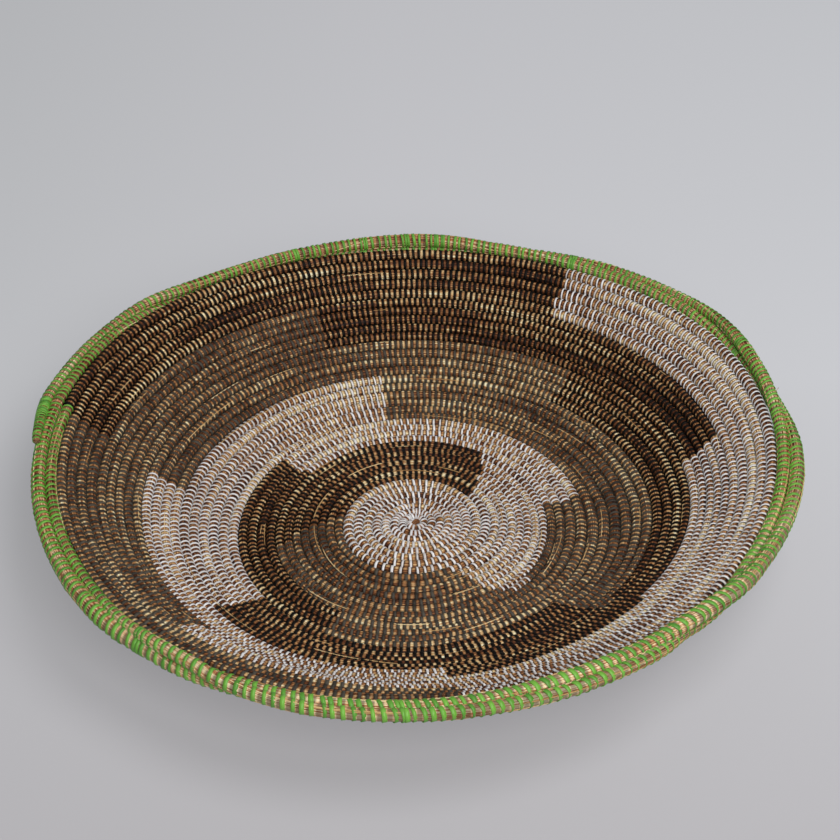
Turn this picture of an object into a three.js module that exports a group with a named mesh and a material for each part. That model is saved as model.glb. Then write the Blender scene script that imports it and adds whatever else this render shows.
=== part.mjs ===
// A round coiled bowl basket: one long bundle of grass wound in a spiral and sewn to itself
// with flat strips in white, black and grey. The last two rounds are twisted round each
// other as a rim. Millimetres, +Z up, standing on the floor.
import * as THREE from 'three';

// Driving sizes of the wound bundle
const corePitch = 5.3; // width of one round at the start of the winding
const nearCorePitch = 5.8; // width of one round where the start ends
const basePitch = 7.1; // width of one round across the flat base
const topPitch = 7.6; // width of one round at the top of the wall
const coilThickness = 7.4; // from the inner face of the wall to the outer face
const coilFlat = 3.4; // flat on the inner and outer face of a round
const gap = 0.3; // running clearance between neighbouring pieces
const startAzimuth = -36; // degrees, where the winding starts
const stationsPerTurn = 24; // straight steps in one round
const rimLean = new THREE.Vector2(-1, -2.5); // how far the rim has drifted off the start
const dentDepth = 7; // the rim is pressed in a little on one side
const dentAzimuth = 318;
const dentSpread = 26; // degrees to either side

// Driving sizes of the sewing strip and of the rim
const stripWidth = 2; // of the flat sewing strip
const stripThickness = 0.6;
const stripLift = 0.8; // middle of the strip above the face of a round
const stripDip = 0.5; // how far the strip sinks towards the groove between two rounds
const rimThickness = 11.6; // of each rim strand
const rimStartTurn = 39.56; // where the bundle leaves the wall and becomes the rim
const rimStations = 84; // straight steps in one round of the rim
const rimSides = 8; // faces round a rim strand
const rimEndTaper = 24; // degrees over which the last strand thins out
const rimTipThickness = 4; // of the lashed tip
const rimLashLength = 12; // degrees of the rim under the closing lashing
const crossings = [121, 231, 280, 323, 382, 438, 481, 591]; // azimuths where the strands stack
const twistHold = 0.65; // 0 is an even twist, near 1 the strands lie side by side for longer
const crossingDip = 2.2; // how far the pair is drawn in where the strands stack
const crossingSpread = 0.18; // how much wider a strand is pressed there

// Width of a round and slope of the wall, each as [round, value] pairs
const pitchRule = [[0, corePitch], [3, nearCorePitch], [8, basePitch], [40, topPitch]];
const slopeRule = [[0, -2], [6, 2], [12, -9], [15.5, 0], [18.5, 0], [24, 27], [30, 30], [36, 33], [40, 42]];

// The stepped whirl of colours: each field of rounds has one white, one black and one grey
// stretch, given by the azimuths where they begin, and each may lean with every round.
const fields = [
  { name: 'base_inner', from: 8, to: 16, white: 294, black: 40, grey: 173, lean: 2.8 },
  { name: 'base_outer', from: 16, to: 20, white: 15, black: 142, grey: 242, lean: 0, stands: true },
  { name: 'wall_low', from: 20, to: 26, white: 99, black: 217, grey: 319, lean: 0 },
  { name: 'wall_middle', from: 26, to: 30, white: 172, black: 277, grey: 52, lean: 0 },
  { name: 'wall_high', from: 30, to: 35, white: 226, black: 11, grey: 110, lean: 0 },
  { name: 'wall_top', from: 35, to: rimStartTurn, white: 277, black: 62, grey: 169, lean: 0 },
];

const finishes = {
  grass: new THREE.MeshStandardMaterial({ color: 0xb98a55, roughness: 0.75, metalness: 0 }),
  knot: new THREE.MeshStandardMaterial({ color: 0x8a5a32, roughness: 0.8, metalness: 0 }),
  white: new THREE.MeshStandardMaterial({ color: 0xd9dbe0, roughness: 0.5, metalness: 0 }),
  black: new THREE.MeshStandardMaterial({ color: 0x17171a, roughness: 0.5, metalness: 0 }),
  grey: new THREE.MeshStandardMaterial({ color: 0x45423d, roughness: 0.6, metalness: 0 }),
  green: new THREE.MeshStandardMaterial({ color: 0x58b23a, roughness: 0.5, metalness: 0 }),
};

const basket = new THREE.Group();

function addPiece(name, geometry, finish) {
  const piece = new THREE.Mesh(geometry, finishes[finish].clone());
  piece.name = name;
  basket.add(piece);
}

// Value of a rule at a round, straight between its pairs
function ruleAt(rule, turn) {
  const last = rule.length - 1;
  if (turn >= rule[last][0]) return rule[last][1];
  const i = rule.findIndex((pair) => pair[0] > turn);
  const [t0, v0] = rule[i - 1];
  const [t1, v1] = rule[i];
  return v0 + ((v1 - v0) * (turn - t0)) / (t1 - t0);
}

// The wall's profile: radius and height of the seam line, added up in small steps
const profileStep = 0.05;
const profile = [{ radius: 0, height: 0 }];
for (let turn = profileStep / 2; turn < rimStartTurn + 2; turn += profileStep) {
  const before = profile[profile.length - 1];
  const slope = THREE.MathUtils.degToRad(ruleAt(slopeRule, turn));
  const run = ruleAt(pitchRule, turn) * profileStep;
  profile.push({
    radius: before.radius + run * Math.cos(slope),
    height: before.height + run * Math.sin(slope),
  });
}

function profileAt(turn) {
  const place = turn / profileStep;
  const i = Math.floor(place);
  const share = place - i;
  const a = profile[i];
  const b = profile[i + 1];
  return {
    radius: a.radius + (b.radius - a.radius) * share,
    height: a.height + (b.height - a.height) * share,
  };
}

function azimuthOf(turn) {
  return startAzimuth + turn * 360;
}

// How far the dent moves the wall in at an azimuth, growing with height
function dentAt(azimuth, turn) {
  const away = THREE.MathUtils.euclideanModulo(azimuth - dentAzimuth + 180, 360) - 180;
  return dentDepth * Math.exp(-((away / dentSpread) ** 2)) * (turn / rimStartTurn) ** 3;
}

function onWall(radius, height, azimuth, turn) {
  const angle = THREE.MathUtils.degToRad(azimuth);
  const reach = radius - dentAt(azimuth, turn);
  const drift = turn / rimStartTurn;
  return new THREE.Vector3(
    reach * Math.cos(angle) + rimLean.x * drift,
    reach * Math.sin(angle) + rimLean.y * drift,
    height,
  );
}

// A point of the spiral: `turn` gives the azimuth, `edge` how many rounds further out it lies
function spiralPoint(turn, edge) {
  const { radius, height } = profileAt(turn + edge);
  return onWall(radius, height, azimuthOf(turn), turn + edge);
}

// The two edges of a round at a station, then straight between two stations
function roundEdges(turn, inner, outer) {
  const place = turn * stationsPerTurn;
  const station = Math.floor(place + 1e-6);
  const share = place - station;
  const [inside, outside] = [inner, outer].map((edge) => {
    const a = spiralPoint(station / stationsPerTurn, edge);
    const b = spiralPoint((station + 1) / stationsPerTurn, edge);
    return a.lerp(b, Math.max(share, 0));
  });
  return { inside, outside };
}

// Section frame between two points of the wall: middle, half width, and two directions
function frameBetween(inside, outside, turn) {
  const across = inside.clone().sub(outside).normalize();
  const angle = THREE.MathUtils.degToRad(azimuthOf(turn));
  const along = new THREE.Vector3(-Math.sin(angle), Math.cos(angle), 0);
  const up = along.cross(across).normalize();
  return {
    middle: inside.clone().add(outside).multiplyScalar(0.5),
    width: inside.distanceTo(outside),
    across,
    up,
  };
}

// A straight rod with one step for each frame, bent so that every step lies on its frame
function bendRod(section, frames) {
  const steps = frames.length - 1;
  const rod = new THREE.ExtrudeGeometry(section, { depth: steps, steps, bevelEnabled: false });
  const corners = rod.attributes.position;
  for (let i = 0; i < corners.count; i += 1) {
    const frame = frames[Math.round(corners.getZ(i))];
    const corner = frame.middle.clone()
      .addScaledVector(frame.across, corners.getX(i) * frame.wide)
      .addScaledVector(frame.up, corners.getY(i) * frame.high);
    corners.setXYZ(i, corner.x, corner.y, corner.z);
  }
  return rod;
}

// The rounds' stations between two turns, with both ends
function stationsBetween(from, to, perTurn) {
  const turns = [from];
  const nearest = 0.15;
  for (let k = Math.ceil(from * perTurn + nearest); k < to * perTurn - nearest; k += 1) {
    turns.push(k / perTurn);
  }
  turns.push(to);
  return turns;
}

// An edge towards each neighbour, a flat on the sewn face, and outside a ridge, or a second
// flat where the basket stands
function coilSection(width, stands) {
  const flat = coilFlat / width;
  return new THREE.Shape([
    new THREE.Vector2(1, 0),
    new THREE.Vector2(flat, 1),
    new THREE.Vector2(-flat, 1),
    new THREE.Vector2(-1, 0),
    ...(stands ? [new THREE.Vector2(-flat, -1), new THREE.Vector2(flat, -1)] : [new THREE.Vector2(0, -1)]),
  ]);
}

function trimAt(turn) {
  return gap / 2 / (2 * Math.PI * profileAt(turn).radius);
}

// One stretch of the wound bundle
function makeCoil(from, to, stands = false) {
  const turns = stationsBetween(from + trimAt(from), to - trimAt(to), stationsPerTurn);
  const frames = turns.map((turn) => {
    const { inside, outside } = roundEdges(turn, -0.5, 0.5);
    const frame = frameBetween(inside, outside, turn);
    const thin = Math.min(1, frame.width / basePitch);
    return { ...frame, wide: (frame.width - gap) / 2, high: (coilThickness * thin) / 2 };
  });
  return bendRod(coilSection(topPitch, stands), frames);
}

// The azimuth of a round's middle is fixed by its turn, so this is the next turn at an azimuth
function turnAtAzimuth(azimuth, after) {
  return after + THREE.MathUtils.euclideanModulo(azimuth - azimuthOf(after), 360) / 360;
}

// A place on the sewn face: `edge` 0 is the middle of a round, -0.5 the groove before it
function stitchPlace(turn, edge, lift) {
  const { inside, outside } = roundEdges(turn, -0.5, 0.5);
  const { up } = frameBetween(inside, outside, turn);
  const place = outside.clone().add(inside).multiplyScalar(0.5);
  place.addScaledVector(outside.clone().sub(inside), edge);
  return { place: place.addScaledVector(up, lift), up };
}

// A flat strip laid along a path of places, with mitred corners
function layStrip(path) {
  const legs = path.slice(1).map((spot, i) => spot.place.clone().sub(path[i].place).normalize());
  const frames = path.map(({ place, up }, i) => {
    const before = legs[Math.max(i - 1, 0)];
    const after = legs[Math.min(i, legs.length - 1)];
    const heading = before.clone().add(after).normalize();
    const across = up.clone().cross(heading).normalize();
    const side = up.clone().cross(after).normalize();
    return {
      middle: place,
      across,
      up: heading.clone().cross(across).normalize(),
      wide: stripWidth / 2 / Math.max(across.dot(side), 0.5),
      high: stripThickness / 2,
    };
  });
  const flat = new THREE.Shape([
    new THREE.Vector2(1, 1),
    new THREE.Vector2(-1, 1),
    new THREE.Vector2(-1, -1),
    new THREE.Vector2(1, -1),
  ]);
  return bendRod(flat, frames);
}

function liftOver(turn) {
  const { inside, outside } = roundEdges(turn, -0.5, 0.5);
  const thin = Math.min(1, inside.distanceTo(outside) / basePitch);
  return (coilThickness * thin) / 2 + stripLift;
}

// The border stitches of one colour field: down its leading edge over every round, then along
// the groove under its first round as far as the next colour
function makeBorder(first, last, edgeAt, endTurn) {
  const path = [];
  const flatShare = (coilFlat / topPitch) / 2;
  for (let turn = edgeAt(last); turn > first - 0.01; turn = edgeAt(turn - 1)) {
    const over = liftOver(turn);
    path.push(stitchPlace(turn, flatShare, over));
    path.push(stitchPlace(turn, -flatShare, over));
    path.push(stitchPlace(turn, -0.5, over - stripDip));
  }
  const start = edgeAt(first);
  for (const turn of stationsBetween(start, endTurn, stationsPerTurn).slice(1)) {
    path.push(stitchPlace(turn, -0.5, liftOver(turn) - stripDip));
  }
  return layStrip(path);
}

// The folded start of the bundle fills the snail-shaped middle of the winding
const firstTurn = 1;
const knotSteps = stationsPerTurn / 2;
const knotOutline = [];
for (let k = 0; k <= knotSteps; k += 1) {
  const turn = firstTurn + (k / knotSteps) * 0.96;
  const edge = spiralPoint(turn, -0.5);
  const reach = Math.hypot(edge.x, edge.y);
  edge.multiplyScalar((reach - gap * 2) / reach);
  knotOutline.push(new THREE.Vector2(edge.x, edge.y));
}
const knotHeight = coilThickness * (corePitch / basePitch) - gap * 2;
const knot = new THREE.ExtrudeGeometry(new THREE.Shape(knotOutline), {
  depth: knotHeight, bevelEnabled: false,
});
knot.translate(0, 0, spiralPoint(firstTurn, 0).z - knotHeight / 2);
addPiece('start_knot', knot, 'knot');

// The wound bundle, one node for each field of colours
addPiece('coil_centre', makeCoil(firstTurn, fields[0].from), 'grass');
for (const field of fields) {
  addPiece(`coil_${field.name}`, makeCoil(field.from, field.to, field.stands), 'grass');
}

// The border stitches, one node for each colour in each field
const nextColour = { white: 'black', black: 'grey', grey: 'white' };

function trimTurns(turn) {
  return (stripWidth + gap * 2) / (2 * Math.PI * profileAt(turn).radius);
}

for (const field of fields) {
  for (const colour of Object.keys(nextColour)) {
    const first = turnAtAzimuth(field[colour], field.from + trimTurns(field.from));
    const lean = (turn) => ((turn - first) * field.lean) / 360;
    const rounds = Math.floor(field.to - trimTurns(field.to) - first - lean(field.to));
    const edgeAt = (turn) => {
      const round = Math.round(turn - first);
      return first + round + lean(first + round);
    };
    const end = turnAtAzimuth(field[nextColour[colour]], first);
    const border = makeBorder(first, first + rounds, edgeAt, end - trimTurns(end));
    addPiece(`stitches_${colour}_${field.name}`, border, colour);
  }
}
const centreField = { from: firstTurn + 1, to: fields[0].from };
const centreRounds = centreField.to - centreField.from - 1;
const centreFirst = centreField.from + trimTurns(centreField.from);
addPiece('stitches_white_centre', makeBorder(
  centreFirst,
  centreFirst + centreRounds,
  (turn) => centreFirst + Math.round(turn - centreFirst),
  centreFirst + 1 - trimTurns(centreFirst + 1) * 2,
), 'white');

// The rim: the bundle runs on for two rounds, and the two strands twist round each other.
// `share` is 0 where the rim starts and 1 one round later.
const rimAzimuth = THREE.MathUtils.euclideanModulo(azimuthOf(rimStartTurn), 360);
const rimStart = profileAt(rimStartTurn);
const roundHalf = (ruleAt(pitchRule, rimStartTurn) - gap) / 2;

function twistAt(azimuth) {
  const i = crossings.findIndex((crossing) => crossing > azimuth) - 1;
  const share = (azimuth - crossings[i]) / (crossings[i + 1] - crossings[i]);
  const eased = share + (twistHold * Math.sin(2 * Math.PI * share)) / (2 * Math.PI);
  return THREE.MathUtils.degToRad(90 - 180 * (i + eased));
}

function strandHalf(share) {
  return roundHalf + (rimThickness / 2 - roundHalf) * share;
}

// The pair's middle stands off the last round of the wall so far that the strand inside
// touches that round
const startTwist = twistAt(rimAzimuth);

function pairMiddle(share, twist) {
  const under = profileAt(rimStartTurn - 1 + share);
  const reach = roundHalf + gap / 2 + (rimThickness + gap) * share;
  const height = rimStart.height + Math.sin(startTwist) * reach;
  const [firstInside, secondInside] = [strandHalf(share), rimThickness / 2].map((half) => {
    const rise = height - Math.sin(startTwist) * (half + gap / 2) - under.height;
    const run = Math.sqrt((roundHalf + half + gap) ** 2 - rise ** 2);
    return run + Math.cos(startTwist) * (half + gap / 2);
  });
  const firstShare = (1 + Math.cos(twist)) / 2;
  const standOff = firstInside * firstShare + secondInside * (1 - firstShare);
  return {
    radius: under.radius + standOff - crossingDip * Math.sin(twist) ** 2,
    height,
  };
}

// A rim strand: round 0 is the first, which lies inside where the rim starts, round 1 the second
function makeStrand(from, to, round, halfAt) {
  const frames = stationsBetween(from, to, rimStations).map((share) => {
    const azimuth = rimAzimuth + share * 360;
    const angle = THREE.MathUtils.degToRad(azimuth);
    const twist = twistAt(azimuth);
    const pair = pairMiddle(share, twist);
    const off = (round === 0 ? -1 : 1) * (halfAt(share) + gap / 2);
    const outward = new THREE.Vector3(Math.cos(angle), Math.sin(angle), 0);
    const lift = new THREE.Vector3(0, 0, 1);
    return {
      middle: onWall(
        pair.radius + off * Math.cos(twist),
        pair.height + off * Math.sin(twist),
        azimuth,
        rimStartTurn,
      ),
      across: outward.clone().multiplyScalar(-Math.cos(twist)).addScaledVector(lift, -Math.sin(twist)),
      up: outward.clone().multiplyScalar(-Math.sin(twist)).addScaledVector(lift, Math.cos(twist)),
      wide: halfAt(share),
      high: halfAt(share) * (1 + crossingSpread * Math.sin(twist) ** 2),
    };
  });
  const corners = Array.from({ length: rimSides }, (_, k) => {
    const angle = (k / rimSides) * 2 * Math.PI;
    return new THREE.Vector2(Math.cos(angle), Math.sin(angle));
  });
  return bendRod(new THREE.Shape(corners), frames);
}

const rimTrim = gap / (2 * Math.PI * rimStart.radius);
const tipStart = 1 - rimLashLength / 360;
addPiece('rim_strand_first', makeStrand(rimTrim, 1 - rimTrim, 0, strandHalf), 'grass');

function taperedHalf(share) {
  const left = ((1 - share) * 360) / rimEndTaper;
  const tip = rimTipThickness / 2;
  return tip + (rimThickness / 2 - tip) * Math.min(1, left);
}
addPiece('rim_strand_second', makeStrand(rimTrim, tipStart, 1, taperedHalf), 'grass');
addPiece('rim_end_lashing', makeStrand(tipStart + rimTrim, 1, 1, taperedHalf), 'green');

// The basket stands on the floor with the middle of its outline over the origin
const outline = new THREE.Box3().setFromObject(basket);
const centre = outline.getCenter(new THREE.Vector3());
basket.position.set(-centre.x, -centre.y, -outline.min.z);

export default basket;
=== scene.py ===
# %% [markdown]
# # A coiled bowl basket
# The real basket is one long bundle of dry grass, wound in a spiral and sewn to itself with flat
# strips in white, black and grey. The last two rounds are twisted round each other as a rim and
# sewn in green. This lesson winds the bundle, sews every stitch with Geometry Nodes and gives the
# grass and the strips their finish. All sizes are worked in millimetres and handed over in metres.

import math

import bpy
import numpy as np
from mathutils import Matrix, Vector


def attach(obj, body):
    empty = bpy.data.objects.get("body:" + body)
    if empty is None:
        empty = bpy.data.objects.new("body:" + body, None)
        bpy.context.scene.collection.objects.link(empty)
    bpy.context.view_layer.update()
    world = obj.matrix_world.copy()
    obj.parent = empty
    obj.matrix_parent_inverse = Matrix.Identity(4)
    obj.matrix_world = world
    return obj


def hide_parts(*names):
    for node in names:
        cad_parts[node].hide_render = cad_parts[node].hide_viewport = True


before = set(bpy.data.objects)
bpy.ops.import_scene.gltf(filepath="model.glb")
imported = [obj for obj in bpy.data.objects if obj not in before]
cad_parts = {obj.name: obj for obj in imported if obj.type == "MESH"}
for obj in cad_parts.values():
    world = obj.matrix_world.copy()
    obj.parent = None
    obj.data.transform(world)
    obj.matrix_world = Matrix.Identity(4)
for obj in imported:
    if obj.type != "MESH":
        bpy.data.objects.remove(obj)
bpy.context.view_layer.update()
scene = bpy.context.scene

# %% [markdown]
# ## The spiral
# Every piece follows one rule: a round is a little wider than the one before, and the wall turns
# up with the rounds. Adding up width and slope in small steps gives the radius and the height of
# the seam line. A spiral made this way needs no drawing, and the stitches can use the same rule.

# %% Driving sizes of the winding, in millimetres
axis_place = np.array([-1.782, -0.833, 9.443])
# each rule is pairs: a place, here a round of the spiral, and the value there
pitch_rule = [(0, 5.3), (3, 5.8), (8, 7.1), (40, 7.6)]
slope_rule = [(0, -2), (6, 2), (12, -9), (15.5, 0), (18.5, 0), (24, 27), (30, 30), (36, 33), (40, 42)]
start_azimuth = -36.0
rim_start_turn = 39.567
rim_drift = np.array([-1.0, -2.5])
dent_depth, dent_azimuth, dent_spread = 7.0, 318.0, 26.0
turn_step = 0.01
mm = 0.001


# %% The seam line's radius and height
def rule_at(rule, place):
    places, values = zip(*rule)
    return np.interp(place, places, values)


seam_turns = np.arange(0, rim_start_turn + 2, turn_step)
middles = seam_turns[:-1] + turn_step / 2
slopes = np.radians(rule_at(slope_rule, middles))
widths = rule_at(pitch_rule, middles)
seam_radius = np.concatenate([[0], np.cumsum(widths * turn_step * np.cos(slopes))])
seam_height = np.concatenate([[0], np.cumsum(widths * turn_step * np.sin(slopes))])


def radius_at(turn):
    return np.interp(turn, seam_turns, seam_radius)


def height_at(turn):
    return np.interp(turn, seam_turns, seam_height)


print("radius of the wall's top round", round(float(radius_at(rim_start_turn)), 1))


# %% [markdown]
# ## Unevenness of handwork
# A basket sewn by hand is never a perfect bowl. Whole rings sit a little higher or wider than the
# rule says, and here and there the wall swells or is pressed in. Each swelling is one rounded hump
# with a middle, a spread and a height, and they all add up.

# %% Rings and humps that leave the even bowl, in millimetres
ring_out_rule = [(0, 0), (8, 3.5), (16, 0.5), (20, 0), (30, 0), (35, -1), (39.56, 2.5)]
ring_up_rule = [(0, -0.5), (8, 0), (16, 0.8), (20, 0.8), (26, 0), (30, 1), (35, 1), (39.56, 0.5)]
# middle round, middle azimuth, rounds each way, degrees each way, pushed out, lifted
humps = [
    (29, 5, 6, 40, 7, 1), (40, 25, 5, 35, 2.5, 9), (40, 145, 5, 40, 1, 4), (41, 295, 4, 20, -4, 4),
    (9, 245, 6, 60, 3, -2.5), (17, 355, 4, 45, -5, 0), (19, 160, 8, 45, -4.5, -1.5),
    (21, 300, 10, 25, -3, 2.5), (28, 225, 4, 30, 4, -2), (40, 120, 2, 25, 1, -1.5),
    (40, 210, 2, 20, 0, -2), (40, 240, 2, 15, 1, 0), (35, 257, 2, 16, -1.5, 2),
    (39, 73, 2.5, 16, 0, 1.6), (39, 143, 2.5, 15, 0, 1.4), (39, 18, 2, 13, 0, 0.7),
]
# azimuth, millimetres: how far the rim leaves its even line
rim_out_rule = [
    (0, 0), (30, 2.5), (60, 1), (90, 1.3), (120, 1.9), (150, 1.2), (180, 0), (205, -0.5), (215, 0.3),
    (223, 2.7), (229, 1.8), (237, -0.3), (246, 0.5), (255, 1.8), (270, 0.6), (285, 1.5), (300, 3),
    (315, 3.5), (321, 2.5), (327, 1), (333, -1), (340, -1.2), (360, 0)]
rim_up_rule = [
    (0, 1), (8, 0.5), (18, -0.3), (28, 0.6), (38, 1), (60, 1.3), (68, 0.8), (77, -0.6), (84, 1.2),
    (90, 2), (98, 1.1), (108, 0.4), (120, -0.7), (132, -0.9), (143, -0.2), (152, 0.4), (160, 0),
    (168, 0.8), (180, 0.6), (210, -2.3), (240, 0.7), (270, 1), (300, 0.5), (330, -1), (360, 1)]
# the wall's last rounds go out with the rim more and more, and this part of the way up with it
pulled_rounds, pulled_up = 3, 0.5


def azimuth_of(turn):
    return start_azimuth + 360 * turn


def degrees_from(azimuth, middle):
    return (azimuth - middle + 180) % 360 - 180


def unevenness(azimuth, turn):
    """How far the wall is pushed out and lifted at these places."""
    turn = np.minimum(turn, rim_start_turn)
    out, up = rule_at(ring_out_rule, turn), rule_at(ring_up_rule, turn)
    for middle_turn, middle_azimuth, rounds, degrees, pushed, lifted in humps:
        away = degrees_from(azimuth, middle_azimuth) / degrees
        share = np.exp(-(((turn - middle_turn) / rounds) ** 2) - away**2)
        out, up = out + pushed * share, up + lifted * share
    return out, up


print("rim at the right side is lifted", round(float(unevenness(25.0, rim_start_turn)[1]), 1), "mm")


# %% Points on the wall
def ways_of(azimuth):
    """The ways outward and onward round the bowl."""
    angle = np.radians(azimuth)
    outward = np.stack([np.cos(angle), np.sin(angle), 0 * angle], -1)
    onward = np.stack([-np.sin(angle), np.cos(angle), 0 * angle], -1)
    return outward, onward


def on_wall(radius, height, azimuth, turn):
    grown = turn / rim_start_turn
    pushed, lifted = unevenness(azimuth, turn)
    dent = dent_depth * np.exp(-((degrees_from(azimuth, dent_azimuth) / dent_spread) ** 2))
    reach = radius - dent * grown**3 + pushed
    angle = np.radians(azimuth)
    return np.stack([
        reach * np.cos(angle) + rim_drift[0] * grown,
        reach * np.sin(angle) + rim_drift[1] * grown,
        height + lifted,
    ], -1)


def seam_point(turn, edge):
    """A point of the seam; the last rounds grow wider to meet the rim."""
    there = np.clip(turn + edge, 0, None)
    azimuth = azimuth_of(turn)
    pulled = np.clip((there - rim_start_turn + 0.5) / pulled_rounds + 1, 0, 1)
    radius = radius_at(there) + rule_at(rim_out_rule, azimuth % 360) * pulled
    height = height_at(there) + rule_at(rim_up_rule, azimuth % 360) * pulled * pulled_up
    return on_wall(radius, height, azimuth, there)


def unit(vectors):
    return vectors / np.linalg.norm(vectors, axis=-1, keepdims=True)


def round_frame(turn):
    """The bundle's middle, the ways across to the inside, up and along, and its width."""
    turn = np.asarray(turn, float)
    inside, outside = seam_point(turn, -0.5), seam_point(turn, 0.5)
    across = unit(inside - outside)
    up = unit(np.cross(ways_of(azimuth_of(turn))[1], across))
    along = unit(np.cross(across, up))
    width = np.linalg.norm(inside - outside, axis=-1)
    return (inside + outside) / 2 + axis_place, across, up, along, width


# %% [markdown]
# ## Where the stitches go
# Each stitch catches one of the round before, so over a few rounds the stitches stand in lines
# that run out from the middle. The number of stitches in a round is therefore held for a band of
# rounds and then raised, which keeps the stitches about 4.8 mm apart. In the first rounds each
# stitch falls between two of the round before, because there is no room for lines there yet. On
# the wall the maker's stitches are wider apart on the near side than on the far side.

# %% Counting the stitches along the bundle
stitch_spacing = 4.8
tighter_rule = [(0.8, 0.48), (1.6, 0.62), (3, 0.76), (8, 1.0)]
offset_before_round = 6
first_stitch_turn = 0.42
band_starts = [first_stitch_turn, 1.2, 2.2, 3.4, 4.6, *range(6, 40, 2), rim_start_turn]
near_azimuth, near_spacing, near_spacing_rule = 270, 0.09, [(16, 0), (30, 1)]
count_step = 0.002
wobble_step, wobble_stitches = 0.07, 0.3
rng = np.random.default_rng(7)


def near_side(turn):
    """1 on the near side of the bowl, -1 on the far side."""
    return np.cos(np.radians(azimuth_of(turn) - near_azimuth))


def slow_change(turns, every, middle, spread):
    """A random value that changes slowly along the spiral."""
    places = np.arange(0, 42, every)
    return np.interp(turns, places, rng.normal(middle, spread, len(places)))


def stitches_in_round(low, high):
    """How many in a round; half a stitch more puts each between two of the round before."""
    middle = (low + high) / 2
    spacing = stitch_spacing * rule_at(tighter_rule, middle)
    return round(2 * math.pi * radius_at(middle) / spacing) + (0.5 if high < offset_before_round else 0)


count_turns = np.arange(first_stitch_turn, rim_start_turn, count_step)
per_round = np.zeros_like(count_turns)
for low, high in zip(band_starts, band_starts[1:]):
    per_round[(count_turns >= low) & (count_turns < high)] = stitches_in_round(low, high)
nearness = near_side(count_turns) * rule_at(near_spacing_rule, count_turns)
per_round = per_round / (1 + near_spacing * nearness)
stitch_count = np.concatenate([[0], np.cumsum(per_round[:-1] * count_step)])
stitch_count = stitch_count + slow_change(count_turns, wobble_step, 0, wobble_stitches)
stitch_count = np.maximum.accumulate(stitch_count - stitch_count[0])
print("stitches in the wall", int(stitch_count[-1]))


def count_at(turn):
    return np.interp(turn, count_turns, stitch_count)


def turn_of(count):
    return np.interp(count, stitch_count, count_turns)


# %% [markdown]
# ## The stepped whirl of colours
# Each field of rounds has one white, one black and one grey stretch. A stretch is given by the
# azimuth where it begins, and in the inner base it moves on a little with every round.

# %% Fields of rounds and the azimuths where their colours begin
centre_rounds = 8
fields = {
    "base_inner": dict(rounds=(8, 16), white=294, black=40, grey=173, lean=2.8),
    "base_outer": dict(rounds=(16, 20), white=15, black=142, grey=242),
    "wall_low": dict(rounds=(20, 26), white=99, black=217, grey=319),
    "wall_middle": dict(rounds=(26, 30), white=172, black=277, grey=52),
    "wall_high": dict(rounds=(30, 35), white=226, black=11, grey=110),
    "wall_top": dict(rounds=(35, 40), white=277, black=62, grey=169),
}


def colour_of(turn):
    """The field and the colour of a stitch at a turn of the spiral."""
    if turn < centre_rounds:
        return "centre", "white"
    name = next(name for name, field in fields.items() if turn < field["rounds"][1])
    field = fields[name]
    lean = field.get("lean", 0) * (math.floor(turn) - field["rounds"][0])
    since = {c: (azimuth_of(turn) - field[c] - lean) % 360 for c in ("white", "black", "grey")}
    return name, min(since, key=since.get)


# %% [markdown]
# ## One helper for every node
# Both geometry trees and materials are made of nodes. One function adds a node, sets its
# properties and fills its sockets with values or links, so each tree reads as a list of steps.
# The short functions after it fill in a common node's names.

# %% The helper, its short forms and the colour function
def linear(hex_colour):
    """An sRGB hex colour as a linear RGBA colour."""
    channels = [int(hex_colour[i:i + 2], 16) / 255 for i in (1, 3, 5)]
    return [c / 12.92 if c <= 0.04045 else ((c + 0.055) / 1.055) ** 2.4 for c in channels] + [1.0]


def feed(tree, node, inputs):
    """Fill a node's sockets; `inputs` maps a name or number to a value or to another node's socket."""
    for key, value in inputs.items():
        socket = node.inputs[key]
        if isinstance(value, bpy.types.NodeSocket):
            tree.links.new(value, socket)
        else:
            socket.default_value = value
    return node


def add(tree, kind, inputs=None, **settings):
    """Add a node, with its properties set and its sockets filled."""
    node = tree.nodes.new(kind)
    for name, value in settings.items():
        setattr(node, name, value)
    return feed(tree, node, inputs or {})


def step(tree, kind, inputs=None, **settings):
    """Add a node and give its first output."""
    return add(tree, kind, inputs, **settings).outputs[0]


def calc(tree, operation, *values):
    return step(tree, "ShaderNodeMath", dict(enumerate(values)), operation=operation)


def vector_calc(tree, operation, *values, **more):
    return step(tree, "ShaderNodeVectorMath", {**dict(enumerate(values)), **more}, operation=operation)


def combined(tree, **parts):
    return step(tree, "ShaderNodeCombineXYZ", parts)


def remap(tree, value, low, high, to_low=0.0, to_high=1.0):
    """Move a value from the range low to high onto a new range, and hold it there."""
    return step(tree, "ShaderNodeMapRange", {
        "Value": value, "From Min": low, "From Max": high, "To Min": to_low, "To Max": to_high})


def new_material(name):
    material = bpy.data.materials.new(name)
    material.use_nodes = True
    return material, material.node_tree, material.node_tree.nodes["Principled BSDF"]


# %% [markdown]
# ## Grass
# The bundle is dry grass: some dozens of thin stalks side by side, straw pale to red-brown, with
# a soft gloss along the stalk. The pattern is drawn on the bundle's own map: one unit along is
# one stitch, one unit across is once round the bundle. Three stretched noises are added up. The
# longest makes whole lengths pale straw or brown, as the maker fed in new grass. The next changes
# from stitch to stitch, and the finest is the stalks, about 0.8 mm wide. Beside each stitch, where
# the stalks dip under the strip, and in the groove between two rounds, the colour is darkened as
# painted shade. On the near side of the rim both strands got a length of new, paler grass.

# %% The grass material
# the second rim strand's stitches are counted on from this number
second_strand_count = 1000.0
fresh_blend = 12


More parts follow.
